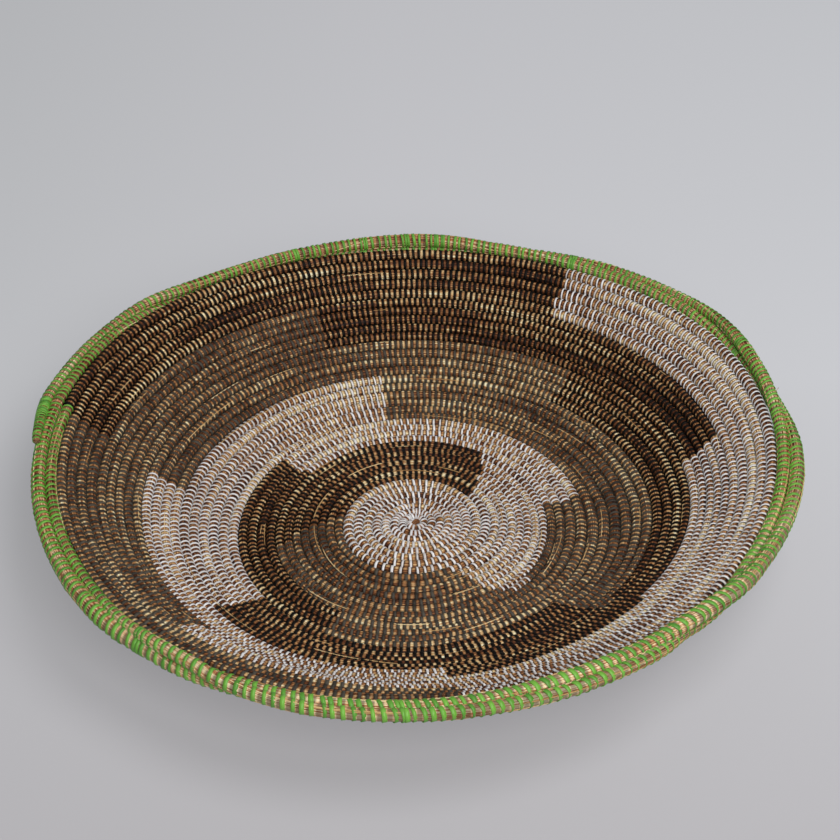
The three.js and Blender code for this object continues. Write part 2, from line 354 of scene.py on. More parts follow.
def ramp_of(tree, fac, stops):
    node = add(tree, "ShaderNodeValToRGB", {"Fac": fac})
    ramp = node.color_ramp
    while len(ramp.elements) < len(stops):
        ramp.elements.new(0.5)
    for element, (place, colour) in zip(ramp.elements, stops):
        element.position = place
        element.color = linear(colour)
    return node.outputs["Color"]


def noise_at(tree, spot, detail):
    return step(tree, "ShaderNodeTexNoise", {
        "Vector": spot, "Scale": 1.0, "Detail": detail, "Roughness": 0.6})


def stretched_noise(tree, place, scale, detail, low=0.32, high=0.68):
    """Noise on a map that is stretched by `scale`, spread out to the whole range from 0 to 1."""
    return remap(tree, noise_at(tree, vector_calc(tree, "MULTIPLY", place, scale), detail), low, high)


def grass_material(name, stops, stalks_round, shade_beside_stitch, shares, groove=0.0, fresh=None):
    """`shares` says how much long lengths, stitch-long patches and stalks change the colour.

    The painted shade beside a stitch says how bright the grass stays there, and `groove` is the
    painted shade between rounds, how much the grass darkens there. `fresh` holds the first and last
    stitch of new grass, and how much paler that is."""
    material, tree, shader = new_material(name)
    place = step(tree, "ShaderNodeUVMap", uv_map="bundle_map")
    lengths = stretched_noise(tree, place, (0.022, 1.1, 1), 1.0)
    patches = stretched_noise(tree, place, (0.8, 3.5, 1), 1.0)
    stalks = stretched_noise(tree, place, (0.09, stalks_round, 1), 2.0, 0.37, 0.63)
    tone = 0.0
    for layer, part in zip((lengths, patches, stalks), shares):
        tone = calc(tree, "MULTIPLY_ADD", layer, part, tone)
    ways = add(tree, "ShaderNodeSeparateXYZ", {0: place}).outputs
    if fresh:
        first, last, paler = fresh
        stitch = calc(tree, "MODULO", ways["X"], second_strand_count)
        begun = remap(tree, stitch, first - fresh_blend, first, 0.0, paler)
        left = remap(tree, stitch, last + fresh_blend, last)
        tone = calc(tree, "MULTIPLY_ADD", begun, left, tone)
    colour = ramp_of(tree, remap(tree, tone, 0.16, 0.84), stops)
    # painted shade: the grass colour is darkened beside each stitch and in the groove between two rounds
    beside = calc(tree, "PINGPONG", ways["X"], 0.5)
    painted_stitch_shade = remap(tree, beside, 0.2, 0.42, shade_beside_stitch)
    down = calc(tree, "PINGPONG", ways["Y"], 0.25)
    painted_groove_shade = remap(tree, down, 0.0, 0.13, 1.0 - groove)
    shade = calc(tree, "MULTIPLY", painted_stitch_shade, painted_groove_shade)
    shaded = add(tree, "ShaderNodeMix", {0: 1.0, 6: colour, 7: shade}, data_type="RGBA",
                 blend_type="MULTIPLY").outputs[2]
    relief = calc(tree, "MULTIPLY", stalks, painted_stitch_shade)
    bump = step(tree, "ShaderNodeBump", {"Height": relief, "Strength": 0.7, "Distance": 0.3 * mm})
    rough = remap(tree, stalks, 0.0, 1.0, 0.5, 0.75)
    feed(tree, shader, {"Base Color": shaded, "Normal": bump, "Roughness": rough, "IOR": 1.45,
                        "Specular IOR Level": 0.25})
    return material


# in each grass, the number after the stalks per round is the painted shade beside a stitch, and the number
# after the shares is the painted shade in the groove between rounds
dry_grass = grass_material("dry_grass_stalks", [
    (0.0, "#2A1408"), (0.3, "#65371C"), (0.5, "#9D673B"), (0.7, "#D0A26D"), (0.88, "#EED59F"),
    (1.0, "#FBEFC8")], 30, 0.12, (0.34, 0.3, 0.36), 0.7)
knot_grass = grass_material("brown_grass_knot", [
    (0.0, "#4A2C1A"), (0.4, "#7A4E2E"), (0.75, "#9A683F"), (1.0, "#BB8C5C")], 16, 0.9, (0.2, 0.3, 0.5))
rim_grass = grass_material("dry_grass_rim", [
    (0.0, "#562A1A"), (0.25, "#92512F"), (0.5, "#BC794C"), (0.75, "#D8A272"), (0.9, "#EAC697"),
    (1.0, "#F5E0B6")], 40, 0.36, (0.16, 0.08, 0.76), 0.12, (50, 135, 0.24))
loose_straw = grass_material("pale_loose_straw", [
    (0.0, "#8A5E38"), (0.4, "#C29A64"), (0.7, "#DDBE88"), (1.0, "#F0DCAE")], 3, 1.0, (0.6, 0.2, 0.2))
print("grass", [material.name for material in (dry_grass, knot_grass, rim_grass, loose_straw)])

# %% [markdown]
# ## Sewing strips
# The strips look like flat plastic strip about 2 mm wide: even in width, with a soft sheen and
# fine lengthwise lines. Plastic of this kind has an IOR near 1.5 and a middling roughness. Every
# stitch carries a random tone, because some lie folded, worn or turned.

# %% The strip material
def strip_material(colour, light, dark, roughness, gloss):
    """`tone`, a random number on every stitch, picks its shade and its own part of the line noise."""
    material, tree, shader = new_material(colour + "_plastic_strip")
    place = step(tree, "ShaderNodeUVMap", uv_map="strip_map")
    tone = add(tree, "ShaderNodeAttribute", attribute_name="tone").outputs["Fac"]
    shifted = combined(tree, Z=calc(tree, "MULTIPLY", tone, 57.0))
    lines = noise_at(tree, vector_calc(tree, "MULTIPLY_ADD", place, (1.2, 7.0, 1), shifted), 2.0)
    both = step(tree, "ShaderNodeMix", {0: 0.55, 2: lines, 3: tone}, data_type="FLOAT")
    shade = ramp_of(tree, both, [(0.2, dark), (0.7, light)])
    bump = step(tree, "ShaderNodeBump", {"Height": lines, "Strength": 0.35, "Distance": 0.15 * mm})
    rough = remap(tree, lines, 0.0, 1.0, roughness - 0.08, roughness + 0.12)
    feed(tree, shader, {"Base Color": shade, "Normal": bump, "Roughness": rough, "IOR": 1.5,
                        "Specular IOR Level": gloss})
    return material


strips = {colour: strip_material(colour, *look) for colour, *look in (
    ("white", "#ECEAEA", "#C9C2BF", 0.45, 0.5), ("black", "#12100E", "#060505", 0.5, 0.12),
    ("grey", "#4E4941", "#2C2823", 0.55, 0.2), ("green", "#73B140", "#508C2E", 0.42, 0.4))}
print("strip materials", sorted(strips))

# %% [markdown]
# ## Winding the bundle
# The path is one chain of points. Each point knows its middle, the ways across and up, and how
# wide and thick the bundle is there. A Geometry Nodes tree sweeps a ring of points along the
# chain, sets each point from those values, and adds the low ridges of the stalks. A plain tube
# on a curve could not keep the flat way up or the map, so the tree sets every point itself.

# %% The winding tree
def new_tree(name, inputs):
    """A tree from geometry to geometry; `inputs` says the kind of each other input."""
    tree = bpy.data.node_groups.new(name, "GeometryNodeTree")
    for title, kind in {"Geometry": "Geometry", **inputs}.items():
        tree.interface.new_socket(title, in_out="INPUT", socket_type="NodeSocket" + kind)
    tree.interface.new_socket("Geometry", in_out="OUTPUT", socket_type="NodeSocketGeometry")
    return tree, add(tree, "NodeGroupInput").outputs, add(tree, "NodeGroupOutput")


def named(tree, name, kind="FLOAT"):
    return add(tree, "GeometryNodeInputNamedAttribute", {"Name": name}, data_type=kind).outputs["Attribute"]


def through(tree, kind, geometry, inputs=None, **settings):
    """Pass the geometry through one more node."""
    return step(tree, "GeometryNode" + kind, {"Geometry": geometry, **(inputs or {})}, **settings)


def store(tree, geometry, name, value, kind="FLOAT", domain="POINT"):
    """The geometry with one more named attribute."""
    return through(tree, "StoreNamedAttribute", geometry, {"Name": name, "Value": value},
                   data_type=kind, domain=domain)


def store_share(tree, curve, name):
    """The curve, with each point's share of the way along it."""
    return store(tree, curve, name, add(tree, "GeometryNodeSplineParameter").outputs["Factor"])


# how fast the relief changes along the stitches, and the circle it is read from round the bundle
relief_along, relief_round = 0.12, 2.6
winding, given, result = new_tree("wind_bundle", {
    "Ring points": "Int", "Stalk relief": "Float", "Material": "Material"})
chain = step(winding, "GeometryNodeMeshToCurve", {"Mesh": given["Geometry"]})
line = step(winding, "GeometryNodeCurvePrimitiveLine")
ring = step(winding, "GeometryNodeResampleCurve", {"Curve": line, "Count": given["Ring points"]})
ring = store_share(winding, ring, "ring_share")
swept = step(winding, "GeometryNodeCurveToMesh", {"Curve": chain, "Profile Curve": ring})
share = named(winding, "ring_share")
count = named(winding, "stitch_count")
angle = calc(winding, "MULTIPLY", share, 2 * math.pi)
cosine = calc(winding, "COSINE", angle)
sine = calc(winding, "SINE", angle)
stalk_place = combined(
    winding, X=calc(winding, "MULTIPLY", count, relief_along),
    Y=calc(winding, "MULTIPLY", cosine, relief_round), Z=calc(winding, "MULTIPLY", sine, relief_round))
stalk_noise = step(winding, "ShaderNodeTexNoise", {"Vector": stalk_place, "Scale": 1.0})
ridge = calc(winding, "SUBTRACT", stalk_noise, 0.5)
ridge = calc(winding, "MULTIPLY", ridge, given["Stalk relief"])
ridge = calc(winding, "MULTIPLY", ridge, named(winding, "body"))
sides = []
for way, half, turned in (("across", "half_wide", cosine), ("up", "half_high", sine)):
    reach = calc(winding, "MULTIPLY", calc(winding, "ADD", named(winding, half), ridge), turned)
    sides.append(vector_calc(winding, "SCALE", named(winding, way, "FLOAT_VECTOR"), Scale=reach))
off = vector_calc(winding, "ADD", *sides)
spot = vector_calc(winding, "ADD", named(winding, "middle", "FLOAT_VECTOR"), off)
placed = through(winding, "SetPosition", swept, {"Position": spot})
mapped = store(winding, placed, "bundle_map", combined(winding, X=count, Y=share), "FLOAT2", "CORNER")
closed = through(winding, "MergeByDistance", mapped, {"Distance": 0.005 * mm})
smooth = through(winding, "SetShadeSmooth", closed)
coated = through(winding, "SetMaterial", smooth, {"Material": given["Material"]})
real = through(winding, "RealizeInstances", coated)
winding.links.new(real, result.inputs["Geometry"])
print("nodes in the winding tree", len(winding.nodes))


# %% Running a tree on a mesh of points
def run_tree(name, points, attributes, tree, values, chains=()):
    """Run the tree on a mesh of points and keep its result as a plain mesh.

    `chains` holds the number of points in each chain, one after the other."""
    mesh = bpy.data.meshes.new(name)
    ends = np.cumsum(chains)
    edges = [(i, i + 1) for length, end in zip(chains, ends) for i in range(end - length, end - 1)]
    mesh.from_pydata(np.asarray(points).tolist(), edges, [])
    for title, data in attributes.items():
        data = np.asarray(data, np.float32)
        kind, key = ("FLOAT_VECTOR", "vector") if data.ndim == 2 else ("FLOAT", "value")
        mesh.attributes.new(title, kind, "POINT").data.foreach_set(key, data.ravel())
    piece = bpy.data.objects.new(name, mesh)
    scene.collection.objects.link(piece)
    modifier = piece.modifiers.new("tree", "NODES")
    modifier.node_group = tree
    sockets = {s.name: s.identifier for s in tree.interface.items_tree if s.in_out == "INPUT"}
    for title, value in values.items():
        modifier[sockets[title]] = value
    depsgraph = bpy.context.evaluated_depsgraph_get()
    made = bpy.data.meshes.new_from_object(piece.evaluated_get(depsgraph))
    piece.modifiers.clear()
    piece.data = made
    made.name = name
    bpy.data.meshes.remove(mesh)
    for title in [*attributes, "ring_share"]:
        if title in made.attributes:
            made.attributes.remove(made.attributes[title])
    return piece


upright = np.array([0, 0, 1.0])
path_values = ("middle", "across", "up", "half_wide", "half_high", "body", "stitch_count")
# half thickness of a closed end, its step outwards, and how far apart stalks lie in the pattern
closed_end, end_step, straw_count_step = 0.0005, 0.001, 31.7


def wind(name, middle, across, up, half_wide, half_high, counts, material, ring=14, relief=0.7):
    """Sweep the bundle along a path in millimetres; both ends close to a point."""
    order = [0, *range(len(middle)), -1]
    middle, across, up, wide, high, counts = (
        np.asarray(values)[order] for values in (middle, across, up, half_wide, half_high, counts))
    wide[[0, -1]] = high[[0, -1]] = closed_end
    body = np.pad(np.ones(len(middle) - 2), 1)
    attributes = dict(zip(path_values, (middle * mm, across, up, wide * mm, high * mm, body, counts)))
    values = {"Ring points": ring + 1, "Stalk relief": relief * mm, "Material": material}
    # both ends are doubled, and two points of the chain may not fall together, so these step out
    path = middle * mm
    path[0] += (path[0] - path[2]) * end_step
    path[-1] += (path[-1] - path[-3]) * end_step
    return run_tree(name, path, attributes, winding, values, [len(path)])


def level_ways(path):
    """The ways along, level across and up at every point of a path."""
    along = unit(np.gradient(path, axis=0))
    across = unit(np.cross(upright, along))
    return along, across, np.cross(along, across)


def lay_stalks(name, paths, half, material):
    """Lay single loose stalks along many paths at once; each thins out at both ends."""
    parts = []
    for number, path in enumerate(paths):
        along, across, up = level_ways(path)
        swell = np.sqrt(np.clip(np.sin(np.linspace(0, np.pi, len(path))) * 3, 0, 1))
        thick = half * swell + closed_end
        count = number * straw_count_step + np.linspace(0, len(path), len(path))
        parts.append((path * mm, across, up, thick * mm, thick * mm, 0 * thick, count))
    parts = {key: np.concatenate(value) for key, value in zip(path_values, zip(*parts))}
    values = {"Ring points": 6, "Stalk relief": 0.0, "Material": material}
    return run_tree(name, parts["middle"], parts, winding, values, [len(path) for path in paths])


# %% [markdown]
# The bundle is wound as one spiral and cut into the same lengths as the CAD nodes. Two points for
# each stitch, one under the strip and one between strips, let the grass swell between stitches.
# The finer relief is in the material.

# %% The wall's bundle
coil_thickness, base_pitch = 7.4, 7.1
thickness_change, thickness_change_turns, swell_between = 0.02, 0.11, 0.04


def wind_stretch(name, low, high):
    turns = turn_of(np.arange(math.ceil(count_at(low) * 2) + 1, math.floor(count_at(high) * 2)) / 2)
    turns = np.concatenate([[low], turns, [high]])
    middle, across, up, _, width = round_frame(turns)
    flat = np.minimum(1, width / base_pitch)
    slow = slow_change(turns, thickness_change_turns, 1, thickness_change)
    pillow = 1 - swell_between * np.cos(2 * np.pi * count_at(turns))
    return wind(name, middle, across, up, width * 0.5 * slow, coil_thickness / 2 * flat * slow * pillow,
                count_at(turns), dry_grass)


stretches = {"coil_centre": (first_stitch_turn, centre_rounds)}
stretches.update({"coil_" + name: field["rounds"] for name, field in fields.items()})
made_pieces = []


def keep(piece, node, slot):
    made_pieces.append((piece, [node], slot))


for node, (low, high) in stretches.items():
    piece = wind_stretch(node + "_grass", low, min(high, rim_start_turn))
    keep(piece, node, "grass")
    print(piece.name, len(piece.data.polygons), "faces")

# %% [markdown]
# ## Sewing
# A stitch is a strip that goes once round the bundle, leaning a little along it. One tree makes a
# single closed loop of strip, puts it at every sewing point, turns it with the bundle, and varies
# its width, lean and tone with a fixed seed. Instances keep this quick, and Realize Instances
# makes the mesh real at the end.

# %% The sewing tree
sewing, given, result = new_tree("sew_stitches", {
    "Loop radius": "Float", "Strip width": "Float", "Strip thickness": "Float", "Lean": "Float",
    "Seed": "Int", "Material": "Material"})
loop = step(sewing, "GeometryNodeCurvePrimitiveCircle", {"Resolution": 12, "Radius": given["Loop radius"]},
            mode="RADIUS")
loop = store_share(sewing, loop, "loop_share")
section = step(sewing, "GeometryNodeCurvePrimitiveQuadrilateral", {
    "Width": given["Strip thickness"], "Height": given["Strip width"]}, mode="RECTANGLE")
section = store_share(sewing, section, "side_share")
strip = step(sewing, "GeometryNodeCurveToMesh", {"Curve": loop, "Profile Curve": section})
strip_spot = combined(sewing, X=named(sewing, "loop_share"), Y=named(sewing, "side_share"))
strip = store(sewing, strip, "strip_map", strip_spot, "FLOAT2", "CORNER")
strip = through(sewing, "Transform", strip, {"Rotation": (math.radians(90), 0, math.radians(90))})
here = add(sewing, "ShaderNodeSeparateXYZ", {0: step(sewing, "GeometryNodeInputPosition")}).outputs
side = calc(sewing, "DIVIDE", here["Y"], given["Loop radius"])
shift = calc(sewing, "MULTIPLY", side, given["Lean"])
shift = combined(sewing, X=calc(sewing, "MULTIPLY", shift, -0.5))
strip = through(sewing, "SetPosition", strip, {"Offset": shift})
strip = through(sewing, "SetShadeSmooth", strip)


def drawn(low, high):
    """A number for every stitch, drawn between two limits."""
    return add(sewing, "FunctionNodeRandomValue", {2: low, 3: high, "Seed": given["Seed"]},
               data_type="FLOAT").outputs[1]


# a strip is up to 18 percent wider or narrower, and its loop only a little looser or tighter
vary = step(sewing, "FunctionNodeRandomValue", {
    0: (0.82, 0.985, 0.985), 1: (1.18, 1.03, 1.03), "Seed": given["Seed"]}, data_type="FLOAT_VECTOR")
fit = vector_calc(sewing, "MULTIPLY", named(sewing, "fit", "FLOAT_VECTOR"), vary)
turned = step(sewing, "FunctionNodeEulerToRotation", {0: named(sewing, "facing", "FLOAT_VECTOR")})
sewn = step(sewing, "GeometryNodeInstanceOnPoints", {
    "Points": given["Geometry"], "Instance": strip, "Rotation": turned, "Scale": fit})
sewn = step(sewing, "GeometryNodeRotateInstances", {
    "Instances": sewn, "Rotation": combined(sewing, Z=drawn(-0.10, 0.10))})
sewn = store(sewing, sewn, "tone", drawn(0.0, 1.0), domain="INSTANCE")
sewn = through(sewing, "RealizeInstances", sewn)
sewn = through(sewing, "SetMaterial", sewn, {"Material": given["Material"]})
sewing.links.new(sewn, result.inputs["Geometry"])
print("nodes in the sewing tree", len(sewing.nodes))


# %% Sewing a set of stitches
def sew(name, middle, along, across, up, fits, colour, seed, loop, width, thickness=0.5, lean=0.0):
    """Sew a strip at every point; its X turns along the bundle, its Y across it and its Z up."""
    facing = np.array([Matrix(ways).transposed().to_euler() for ways in zip(along, across, up)])
    values = {"Loop radius": loop * mm, "Strip width": width * mm, "Strip thickness": thickness * mm,
              "Lean": lean * mm, "Seed": seed, "Material": strips[colour]}
    return run_tree(name, middle * mm, {"facing": facing, "fit": fits}, sewing, values)


# %% [markdown]
# Every stitch of the wall is sorted into its field and colour, so that each group of stitches is
# one piece, as its CAD node is.

# %% The wall's stitches
wall_strip = {"white": 1.6, "black": 2.25, "grey": 2.05}
wall_loop, wall_lean = 3.85, 0.8
# strips are narrower where rounds are narrow, white ones on the wall, and all on the far side
narrow_rule = [(5.3, 0.6), (5.7, 0.85), (7, 1.0)]
white_rule = [(16, 1), (26, 0.88)]
near_wider, near_wider_rule = 0.13, [(20, 0.5), (32, 1)]
stitch_turns = turn_of(np.arange(1, math.floor(stitch_count[-1]) + 1))
groups = {}
for turn in stitch_turns:
    groups.setdefault(colour_of(turn), []).append(turn)
for seed, ((field, colour), turns) in enumerate(sorted(groups.items())):
    middle, across, up, along, width = round_frame(turns)
    near = near_side(np.array(turns)) * rule_at(near_wider_rule, turns)
    slim = rule_at(white_rule, turns) if colour == "white" else 1
    fits = np.stack([rule_at(narrow_rule, width) * (1 + near_wider * near) * slim,
                     width / coil_thickness, np.minimum(1, width / base_pitch)], -1)
    node = f"stitches_{colour}_{field}"
    piece = sew(node + "_sewn", middle, along, across, up, fits, colour, seed, wall_loop,
                wall_strip[colour], lean=wall_lean)
    keep(piece, node, colour + "_strip")
print("groups of stitches", len(groups))

# %% [markdown]
# ## The twisted rim
# At the top the bundle runs on for two more rounds. The two strands lie side by side for a
# stretch, then one goes over the other, and in a round they change places four times. The twist
# angle says where the second strand lies: 0 is outside, 90 degrees is on top. Where they stack
# they are pressed wider and drawn in, and the lower one rests on the wall's top round. The second
# strand ends a little past its start, thinned and lashed.

# %% Sizes of the rim, in millimetres
rim_thickness, rim_radius, start_radius = 10.4, 274, 270
# azimuth, thickness
thickness_rule = [
    (0, 10.4), (30, 9.2), (60, 8.6), (90, 9), (120, 7.7), (150, 7.5), (180, 9.3), (210, 11.1), (240, 11.2),
    (270, 11.2), (300, 11.3), (330, 10.6), (360, 10.4)]
# azimuth, twist in degrees; it runs on past 360 because the rim starts at azimuth 168
twist_rule = [
    (160, 7), (219, -6), (228, -46), (234, -80), (244, -141), (256, -156), (280, -163), (297, -186),
    (309, -195), (315, -246), (328, -326), (342, -348), (363, -370), (381, -428), (395, -508), (402, -540),
    (418, -542), (432, -564), (444, -600), (456, -602), (468, -590), (484, -578), (491, -592),
    (496, -640), (502, -708), (508, -720), (560, -720)]
start_twist = math.radians(6.6)
crossing_dip, crossing_spread = 1.3, 0.15
# how soon the lower strand comes to rest on the wall, and the rim's own line sets in at its start
lower_rest, line_onset = 1.2, 18
tail_past_start = 10.5
tail_taper, tip_thickness, lashed_length = 12.0, 4.6, 10.8
# the tail is tucked in and lifted this far, over this share of a round
tail_in, tail_up, tuck_share = 3.8, 5.0, 0.02
gap = 0.3
rim_azimuth = azimuth_of(rim_start_turn) % 360
round_half = (rule_at(pitch_rule, rim_start_turn) - gap) / 2
tail_share = 1 + tail_past_start / 360
lashing_share = tail_share - lashed_length / 360

twist_places = np.arange(150, 551, 0.5)
eased_over = 25
soft = np.hanning(eased_over) / np.hanning(eased_over).sum()
eased_twist = np.pad(rule_at(twist_rule, twist_places), eased_over // 2, mode="edge")
eased_twist = np.convolve(eased_twist, soft, "valid")


def twist_at(azimuth):
    return np.radians(np.interp(azimuth, twist_places, eased_twist))


def full_half(azimuth):
    return rule_at(thickness_rule, azimuth % 360) / 2


def first_half(share):
    return round_half + (full_half(rim_azimuth + 360 * share) - round_half) * np.minimum(share, 1)


def second_half(share):
    left = (tail_share - share) * 360 / tail_taper
    full = full_half(rim_azimuth + 360 * share)
    return tip_thickness / 2 + (full - tip_thickness / 2) * np.sqrt(np.clip(left, 0, 1))


# %% The two strands' paths
def strand_path(share, second):
    """Middle, ways across and up, along, half width and half height of a rim strand."""
    azimuth = rim_azimuth + share * 360
    twist = twist_at(azimuth)
    under = rim_start_turn - 1 + share
    under_radius, under_height = radius_at(under), height_at(under)
    reach = round_half + gap / 2 + (rim_thickness + gap) * share
    height = height_at(rim_start_turn) + math.sin(start_twist) * reach
    stand_off = []
    for half in (first_half(share), full_half(azimuth)):
        rise = height - math.sin(start_twist) * (half + gap / 2) - under_height
        run = np.sqrt((round_half + half + gap) ** 2 - rise**2)
        stand_off.append(run + math.cos(start_twist) * (half + gap / 2))
    first_share = (1 + np.cos(twist)) / 2
    radius = under_radius + stand_off[0] * first_share + stand_off[1] * (1 - first_share)
    radius = radius - crossing_dip * np.sin(twist) ** 2
    half = second_half(share) if second else first_half(share)
    off = (half + gap / 2) * (1 if second else -1)
    spread = 1 + crossing_spread * np.sin(twist) ** 2
    radius, height = radius + off * np.cos(twist), height + off * np.sin(twist)
    room = np.hypot(radius - under_radius, height - under_height) - (round_half + half * spread + gap)
    lower = np.clip(-lower_rest * np.sign(off) * np.sin(twist), 0, 1)
    radius = radius - np.clip(room, 0, None) * lower
    grown = 1 if second else np.clip(share * line_onset, 0, 1)
    tucked = np.clip((share - lashing_share) / tuck_share, 0, 1) if second else 0 * share
    radius = radius + rule_at(rim_out_rule, azimuth % 360) * grown - tail_in * tucked
    height = height + rule_at(rim_up_rule, azimuth % 360) * grown + tail_up * tucked
    middle = on_wall(radius, height, azimuth, rim_start_turn)
    across = -np.cos(twist)[:, None] * ways_of(azimuth)[0] - np.sin(twist)[:, None] * upright
    along = unit(np.gradient(middle, axis=0))
    across = unit(across - (across * along).sum(-1, keepdims=True) * along)
    up = np.cross(along, across)
    return middle + axis_place, across, up, along, half, half * spread


# %% [markdown]
# The green strips are 5 mm apart on the far and right sides and 6.5 mm apart on the left and near
# sides, so the stitches are counted along the rim from a rule, as a maker's hand changes pace. The
# same count is the grass map's first number, so the grass dips at every strip.

# %% Counting the green stitches
rim_spacing_rule = [
    (0, 5.0), (90, 4.8), (125, 5.0), (160, 4.9), (180, 5.8), (215, 5.8), (232, 6.8), (262, 6.5), (275, 6.1),
    (290, 6.7), (320, 6.6), (335, 5.6), (350, 5.4), (360, 5.0)]
# azimuth, width of the strip
rim_strip_rule = [(0, 1.9), (90, 1.9), (150, 1.7), (180, 2.0), (240, 2.8), (300, 3.3), (330, 2.5), (360, 1.9)]
# one round and a little more, for the tail
rim_shares = np.linspace(0, 1.04, 4001)
rim_steps = 2 * math.pi * rim_radius * np.diff(rim_shares) / rule_at(
    rim_spacing_rule, (rim_azimuth + 360 * rim_shares[:-1]) % 360)
rim_counts = np.concatenate([[0], np.cumsum(rim_steps)])
print("green stitches in a round", round(float(np.interp(1, rim_shares, rim_counts))))


def at_shares(places, second):
    """The strand's path read off at these shares of its round."""
    fine = np.linspace(0, 1.035, 2000)
    parts = strand_path(fine, second)
    ways = [np.stack([np.interp(places, fine, part[:, k]) for k in range(3)], -1) for part in parts[:4]]
    return [ways[0]] + [unit(way) for way in ways[1:]] + [np.interp(places, fine, part) for part in parts[4:]]


def rim_facing(places, across, along, lean):
    """Turn a stitch's plane so that its outer end runs ahead by `lean` over the strand's width."""
    inward = -ways_of(rim_azimuth + 360 * places)[0]
    ahead = unit(along + np.asarray(lean)[..., None] / rim_thickness * inward)
    across = unit(across - (across * ahead).sum(-1, keepdims=True) * ahead)
    return ahead, across, np.cross(ahead, across)


def sew_rim(name, places, second, lean, scale, over, seed, *sizes):
    """Sew green strips round a rim strand, `over` millimetres off the grass."""
    middle, across, up, along, wide, high = at_shares(places, second)
    ahead, across, up = rim_facing(places, across, along, lean)
    fits = np.stack([scale, (wide + over) / loop_fits, (high + over) / loop_fits], -1)
    return sew(name, middle, ahead, across, up, fits, "green", seed, *sizes)


# %% Where the green strips go, the same for both strands
rim_lean_rule = [(0, 2.2), (90, 1.3), (180, 1.5), (240, 2.5), (290, 5), (330, 4), (360, 2.2)]
sewn_from, sewn_uneven = 0.3, 0.07
doubled_part, doubled_after = 0.03, 0.45
sewn_counts = np.arange(sewn_from, rim_counts[-1])
sewn_counts = sewn_counts + rng.normal(0, sewn_uneven, len(sewn_counts))
doubled = sewn_counts[rng.random(len(sewn_counts)) < doubled_part] + doubled_after
sewn_places = np.interp(np.concatenate([sewn_counts, doubled]), rim_counts, rim_shares)

# %% The rim strands and their green stitches
strand_ends = (1.0, lashing_share + 0.01)
start_back = 0.0008
# half thickness of the strand a loop is made for, the loop, its strip, its height over the grass
loop_fits, rim_loop, rim_strip, over_grass = 5.8, 5.9, 2.4, 0.4
along_uneven, lean_uneven = 0.2, 0.5
rim_ring, rim_relief = 20, 1.2
for second, which in enumerate(("first", "second")):
    node = "rim_strand_" + which
    used = np.linspace(0 if second else -start_back, strand_ends[second], 900)
    middle, across, up, along, wide, high = strand_path(np.maximum(used, 0), second)
    middle = middle + np.minimum(used, 0)[:, None] * 2 * math.pi * start_radius * along
    counts = np.interp(used, rim_shares, rim_counts) - sewn_from + second * second_strand_count
    piece = wind(node + "_grass", middle, across, up, wide, high, counts, rim_grass, rim_ring, rim_relief)
    keep(piece, node, "grass")
    places = sewn_places[sewn_places < strand_ends[second]]
    azimuth = rim_azimuth + 360 * places
    lean = rule_at(rim_lean_rule, azimuth % 360)
    onward = np.cos(twist_at(azimuth)) * (0.5 if second else -0.5) * lean
    onward = onward + rng.normal(0, along_uneven, len(places))
    places = np.clip(places + onward / (2 * math.pi * rim_radius), 0, strand_ends[second])
    lean = lean + rng.normal(0, lean_uneven, len(places))
    scale = rule_at(rim_strip_rule, azimuth % 360) / rim_strip
    piece = sew_rim("green_stitches_" + which, places, second, lean, scale, over_grass, 40 + second,
                    rim_loop, rim_strip)
    keep(piece, node, "green_strip")
print("green strips", len(sewn_places))

# %% [markdown]
# ## Loose straws
# Some stalks lie outside the bundle's smooth skin. On the rim they run along the strand for some
# centimetres and cross each other slowly, and a few stick out as short hairs. On the wall a few
# pale ones lie over the stitches. Each is a thin tapered path, and one tree makes all of a set.

# %% Straws on the rim, on the wall and sticking out
straws_on_strand, straws_on_wall = 150, 90
# half thickness of a stalk on the rim, of one on the wall and of a hair
rim_stalk, wall_stalk, hair = 0.42, 0.35, 0.22
# how high a stalk lies over the rim, and a short and a long one over the wall
rim_lift, low_lift, high_lift, long_straw = 0.12, 0.1, 0.55, 60
# how far, in radians, a stalk wanders round the bundle on the rim and on the wall
rim_wander, wall_wander = 0.45, 0.3
# azimuth, length, and how steeply a hair rises
hair_places = [(58, 9, 0.5), (78, 7, 0.9), (81, 5, 0.2), (12, 6, 0.6), (128, 6, 0.4), (301, 6, 0.3)]
hair_outward, hair_aside, hair_sag = 0.8, 0.5, 0.03


def round_bundle(middle, across, up, wide, high, turned):
    """Points on the bundle's skin, at these angles round it."""
    return middle + across * (wide * np.cos(turned))[:, None] + up * (high * np.sin(turned))[:, None]


for second, which in enumerate(("first", "second")):
    paths = []
    for _ in range(straws_on_strand):
        # each takes 2 to 6 percent of the round
        first = rng.uniform(0.001, 0.93)
        places = np.linspace(first, first + rng.uniform(0.02, 0.06), 12)
        middle, across, up, along, wide, high = at_shares(places, second)
        turned = rng.uniform(0, 2 * np.pi) + np.linspace(0, rng.normal(0, rim_wander), 12)
        lifted = 1.0 + rim_lift / wide
        paths.append(round_bundle(middle, across, up, wide * lifted, high * lifted, turned))
    keep(lay_stalks("rim_straws_" + which, paths, rim_stalk, loose_straw), "rim_strand_" + which, "grass")
wall_paths = []
